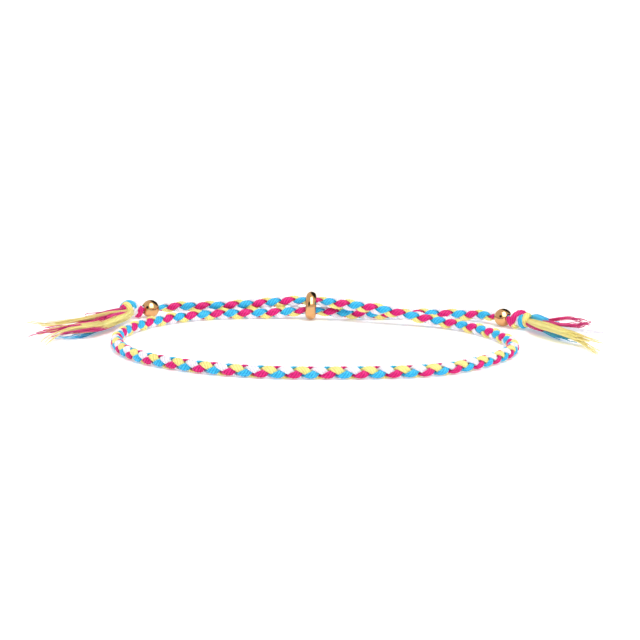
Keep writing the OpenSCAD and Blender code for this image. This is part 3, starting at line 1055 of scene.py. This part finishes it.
# Noise in the yarn, along a millimetre and across one ply: fine fibres, and patches of uneven dye.
FIBRES_ALONG, FIBRES_ACROSS = 1.6, 9.0
PATCHES_ALONG, PATCHES_ACROSS = 0.7, 5.3
# How steeply the painted shade in a groove and its depth fall off from the edge of a ply.
GROOVE_SHADE_POWER, GROOVE_DEPTH_POWER = 2.0, 3.0
FIBRE_HEIGHT, GROOVE_HEIGHT = 0.6, -0.4
YARN_ROUGHNESS, YARN_ROUGHNESS_SPREAD = 0.38, 0.25


def yarn_fibres_group():
    """Shader group for plied yarn on a UV map of millimetres along the yarn and plies across it. It paints
    shade into the grooves between plies.
    """
    tree, given, output = new_tree(
        "Yarn Fibres", "ShaderNodeTree",
        {"Coordinate": ("NodeSocketVector", None), "Colour": ("NodeSocketColor", (0.8, 0.8, 0.8, 1)),
         "Groove Shade Colour": ("NodeSocketColor", (0.3, 0.3, 0.3, 1)), "Groove": ("NodeSocketFloat", 0.9),
         "Variation": ("NodeSocketFloat", 0.32)},
        {"Colour": ("NodeSocketColor", None), "Height": ("NodeSocketFloat", None),
         "Roughness": ("NodeSocketFloat", None)})
    u, v, _ = separate(tree, given["Coordinate"])
    edge = (v.math("FRACT") - 0.5).math("ABSOLUTE") * 2.0
    groove = edge.math("POWER", GROOVE_SHADE_POWER) * given["Groove"]
    fibres = noise(tree, combine(tree, u * FIBRES_ALONG, v * FIBRES_ACROSS), 3.0)
    patches = noise(tree, combine(tree, u * PATCHES_ALONG, v.math("FLOOR") * PATCHES_ACROSS), 1.0)
    tone = (fibres - 0.5) * given["Variation"] * 2.0 + (patches - 0.5) * given["Variation"] + 1.0
    toned = mix_colours(tree, 1.0, given["Colour"], combine(tree, tone, tone, tone), "MULTIPLY")
    set_inputs(tree, output, {
        # Near the edges of each ply the colour turns to the groove colour: painted shade between the plies.
        "Colour": mix_colours(tree, groove, toned, given["Groove Shade Colour"]),
        "Height": fibres * FIBRE_HEIGHT + edge.math("POWER", GROOVE_DEPTH_POWER) * GROOVE_HEIGHT,
        "Roughness": fibres * YARN_ROUGHNESS_SPREAD + YARN_ROUGHNESS})
    return tree


def new_material(name):
    """A material, its node tree and its Principled shader."""
    material = bpy.data.materials.new(name)
    material.use_nodes = True
    return material, material.node_tree, material.node_tree.nodes["Principled BSDF"]


def yarn_material(name, colour, groove, group):
    """Glossy dyed yarn of fine fibres, with shade painted between its plies."""
    _, tree, shader = new_material(name)
    fibres = add_node(tree, "ShaderNodeGroup", {
        "Coordinate": add_node(tree, "ShaderNodeUVMap", uv_map="UVMap").outputs["UV"],
        "Colour": (*colour, 1), "Groove Shade Colour": (*groove, 1)}, node_tree=group)
    bump = add_node(tree, "ShaderNodeBump", {
        "Strength": 0.5, "Distance": 0.03 * MM, "Height": fibres.outputs["Height"]})
    set_inputs(tree, shader, {
        "Base Color": fibres.outputs["Colour"], "Roughness": fibres.outputs["Roughness"],
        "Normal": bump.outputs["Normal"],
        "Sheen Weight": 0.08, "Sheen Roughness": 0.4, "Sheen Tint": (*colour, 1),
        "Specular IOR Level": 0.55, "Specular Tint": (*(colour * 0.5 + 0.5), 1),
        "Subsurface Weight": 0.3, "Subsurface Scale": 0.4 * MM, "Subsurface Radius": (1, 1, 1)})


# Noise in the plating in steps per metre: clouds in its tone, and fine scratches along and across the x axis.
CLOUDS = 900.0
SCRATCHES_ALONG, SCRATCHES_ACROSS = 800.0, 5000.0
# Where the clouds start to wear the tone, how strongly, and what is left of each part of the colour there.
WEAR_START, WEAR_STRENGTH = 0.45, 0.8
WORN_SHARES = (0.85, 0.75, 0.6)
# Roughness of the plating, and what its scratches and clouds add.
METAL_ROUGHNESS, SCRATCH_ROUGHNESS, CLOUD_ROUGHNESS = 0.02, 0.12, 0.08


def plating_group():
    """Shader group for plating with faint scratches and a slightly uneven tone, on Object coordinates."""
    tree, given, output = new_tree(
        "Polished Plating", "ShaderNodeTree",
        {"Coordinate": ("NodeSocketVector", None), "Colour": ("NodeSocketColor", (0.8, 0.5, 0.25, 1)),
         "Worn Colour": ("NodeSocketColor", (0.6, 0.3, 0.15, 1))},
        {"Colour": ("NodeSocketColor", None), "Roughness": ("NodeSocketFloat", None),
         "Height": ("NodeSocketFloat", None)})
    clouds = noise(tree, given["Coordinate"], 4.0, CLOUDS)
    x, y, z = separate(tree, given["Coordinate"])
    drawn_out = combine(tree, x * SCRATCHES_ALONG, y * SCRATCHES_ACROSS, z * SCRATCHES_ACROSS)
    scratches = noise(tree, drawn_out, 5.0)
    worn = (clouds - WEAR_START) * WEAR_STRENGTH
    set_inputs(tree, output, {
        "Colour": mix_colours(tree, worn, given["Colour"], given["Worn Colour"]),
        "Roughness": scratches * SCRATCH_ROUGHNESS + clouds * CLOUD_ROUGHNESS + METAL_ROUGHNESS,
        "Height": scratches})
    return tree


def metal_material(name, colour):
    """Polished plating in a warm gold."""
    _, tree, shader = new_material(name)
    plating = add_node(tree, "ShaderNodeGroup", {
        "Coordinate": add_node(tree, "ShaderNodeTexCoord").outputs["Object"],
        "Colour": (*colour, 1), "Worn Colour": (*(colour * WORN_SHARES), 1)}, node_tree=plating_group())
    bump = add_node(tree, "ShaderNodeBump", {
        "Strength": 0.12, "Distance": 0.004 * MM, "Height": plating.outputs["Height"]})
    set_inputs(tree, shader, {
        "Base Color": plating.outputs["Colour"], "Roughness": plating.outputs["Roughness"],
        "Normal": bump.outputs["Normal"], "Metallic": 1})


class BRACELET_OT_materials(bpy.types.Operator):
    """Mix the finishes of the yarn and the metal"""

    bl_idname = "bracelet.materials"
    bl_label = "Finishes"

    def execute(self, context):
        finishes = context.scene.bracelet_finishes
        group = yarn_fibres_group()
        for name in ("pink", "blue", "yellow", "white"):
            colour, groove = (np.array(getattr(finishes, key)) for key in (name, f"{name}_groove_shade"))
            yarn_material(f"{name}_yarn{FINISH}", colour, groove, group)
            # Tassels get a paler copy of each yarn, with lighter groove shade: painted light against the
            # shade among their loose threads.
            loose = 1 - (1 - colour) * finishes.brightened_loose_tint
            yarn_material(f"{name}_yarn{LOOSE_FINISH}", loose, (loose + groove) / 2, group)
        metal_material("rose_gold" + FINISH, np.array(finishes.metal))
        return {"FINISHED"}


def stage_piece(name, mesh, material):
    """An object that isn't part of the bracelet."""
    thing = bpy.data.objects.new(name, mesh)
    thing.data.materials.append(material)
    bpy.context.collection.objects.link(thing)


def sweep_mesh():
    """A floor that curves up into a backdrop far behind the bracelet."""
    half_width, front, back, bend, top, steps = 4, -2, 2.9, 0.4, 0.5, 16
    profile = [(front, 0), (back, 0)]
    for k in range(1, steps + 1):
        angle = math.pi / 2 * k / steps
        profile.append((back + bend * math.sin(angle), bend - bend * math.cos(angle)))
    profile.append((back + bend, top))
    points = [(x, y, z) for y, z in profile for x in (-half_width, half_width)]
    faces = [(2 * i, 2 * i + 1, 2 * i + 3, 2 * i + 2) for i in range(len(profile) - 1)]
    mesh = bpy.data.meshes.new("sweep")
    mesh.from_pydata(points, [], faces)
    mesh.polygons.foreach_set("use_smooth", [True] * len(faces))
    return mesh


# Place and width in metres of the main light, and of the one that the metal mirrors.
KEY_LIGHT = ((0.08, -0.16, 0.48), 0.25)
SOFTBOX = ((0.12, -0.32, 0.35), 0.42)


def area_light(name, place, size, power):
    """A square soft light that faces the bracelet."""
    lamp = bpy.data.lights.new(name, "AREA")
    lamp.size = size
    lamp.energy = power
    light = bpy.data.objects.new(name, lamp)
    light.location = place
    light.rotation_euler = (-Vector(place)).to_track_quat("-Z", "Y").to_euler()
    bpy.context.collection.objects.link(light)
    return light


# Distances in metres between which the floor's glow rises from near to far.
GLOW_NEAR, GLOW_FAR = 0.08, 0.6


def floor_material(looks):
    """A pale floor that glows a little, and more so far away."""
    material, tree, shader = new_material("pale_floor")
    place = Field(tree, add_node(tree, "ShaderNodeTexCoord").outputs["Object"])
    glow = add_node(tree, "ShaderNodeMapRange", {
        "Value": place.vector_math("LENGTH"), "From Min": GLOW_NEAR, "From Max": GLOW_FAR,
        "To Min": looks.near_glow, "To Max": looks.far_glow}, interpolation_type="SMOOTHSTEP")
    set_inputs(tree, shader, {
        "Emission Strength": glow.outputs["Result"], "Emission Color": (1, 1, 1, 1),
        "Base Color": (*looks.floor_colour, 1), "Roughness": 0.9})
    return material


# Dark parts of the room that the metal mirrors: direction, and degrees from its middle to its full and faded
# edge. DARKEST is the share of the light that is left in them.
DARK_PARTS = (((0.45, 0.68, 0.58), 26, 38), ((-0.585, -0.725, 0.363), 13, 22))
DARKEST = 0.02


def room(looks):
    """A soft white room with two dark parts."""
    world = bpy.data.worlds.new("Soft room")
    world.use_nodes = True
    tree = world.node_tree
    way = Field(tree, add_node(tree, "ShaderNodeTexCoord").outputs["Generated"]).unit()
    light = None
    for direction, full, faded in DARK_PARTS:
        nearness = way.vector_math("DOT_PRODUCT", tuple(Vector(direction).normalized()))
        part = add_node(tree, "ShaderNodeMapRange", {
            "Value": nearness, "From Min": math.cos(math.radians(faded)),
            "From Max": math.cos(math.radians(full)), "To Min": 1.0, "To Max": DARKEST},
            interpolation_type="SMOOTHSTEP")
        share = Field(tree, part.outputs["Result"])
        light = light * share if light else share
    set_inputs(tree, tree.nodes["Background"], {
        "Color": (1, 1, 1, 1), "Strength": light * looks.room_light})
    return world


class BRACELET_OT_stage(bpy.types.Operator):
    """Set the floor, the lights and the camera"""

    bl_idname = "bracelet.stage"
    bl_label = "Stage"

    def execute(self, context):
        looks = context.scene.stage_looks
        stage_piece("floor", sweep_mesh(), floor_material(looks))
        context.scene.world = room(looks)
        area_light("key_light", *KEY_LIGHT, looks.key_power)
        softbox = area_light("softbox", *SOFTBOX, looks.softbox_power)
        softbox.visible_diffuse = False

        camera_data = bpy.data.cameras.new("camera")
        camera_data.sensor_width = 36
        camera_data.lens = looks.focal_length
        camera_data.clip_start = 0.01
        camera = bpy.data.objects.new("camera", camera_data)
        camera.location = looks.camera_place
        level = Matrix.Rotation(math.pi / 2 - looks.camera_tilt, 3, "X")
        camera.rotation_euler = (level @ Matrix.Rotation(looks.camera_roll, 3, "Z")).to_euler()
        context.collection.objects.link(camera)
        context.scene.camera = camera
        context.scene.view_settings.view_transform = "Standard"
        return {"FINISHED"}


class BRACELET_PT_tools(bpy.types.Panel):
    """The bracelet's tools and sizes"""

    bl_idname = "BRACELET_PT_tools"
    bl_label = "Braided Bracelet"
    bl_space_type = "VIEW_3D"
    bl_region_type = "UI"
    bl_category = "Bracelet"

    def draw(self, context):
        for operator in OPERATORS:
            self.layout.operator(operator.bl_idname)


GROUPS = {
    "braid_sizes": BraidSizes, "knot_sizes": KnotSizes, "tassel_sizes": TasselSizes, "bead_sizes": BeadSizes,
    "bracelet_finishes": Finishes, "stage_looks": StageLooks}
OPERATORS = (BRACELET_OT_materials, BRACELET_OT_strands, BRACELET_OT_knots, BRACELET_OT_tassels,
             BRACELET_OT_metal, BRACELET_OT_stage)


def register():
    """Adds the classes and the scene's settings."""
    for cls in (*GROUPS.values(), *OPERATORS, BRACELET_PT_tools):
        bpy.utils.register_class(cls)
    for name, group in GROUPS.items():
        setattr(bpy.types.Scene, name, PointerProperty(type=group))


def unregister():
    """Removes the scene's settings and the classes."""
    for name in GROUPS:
        delattr(bpy.types.Scene, name)
    for cls in reversed((*GROUPS.values(), *OPERATORS, BRACELET_PT_tools)):
        bpy.utils.unregister_class(cls)


def main():
    register()
    bpy.ops.bracelet.materials()
    bpy.ops.bracelet.strands()
    bpy.ops.bracelet.knots()
    bpy.ops.bracelet.tassels()
    bpy.ops.bracelet.metal()
    bpy.ops.bracelet.stage()


if __name__ == "__main__":
    main()
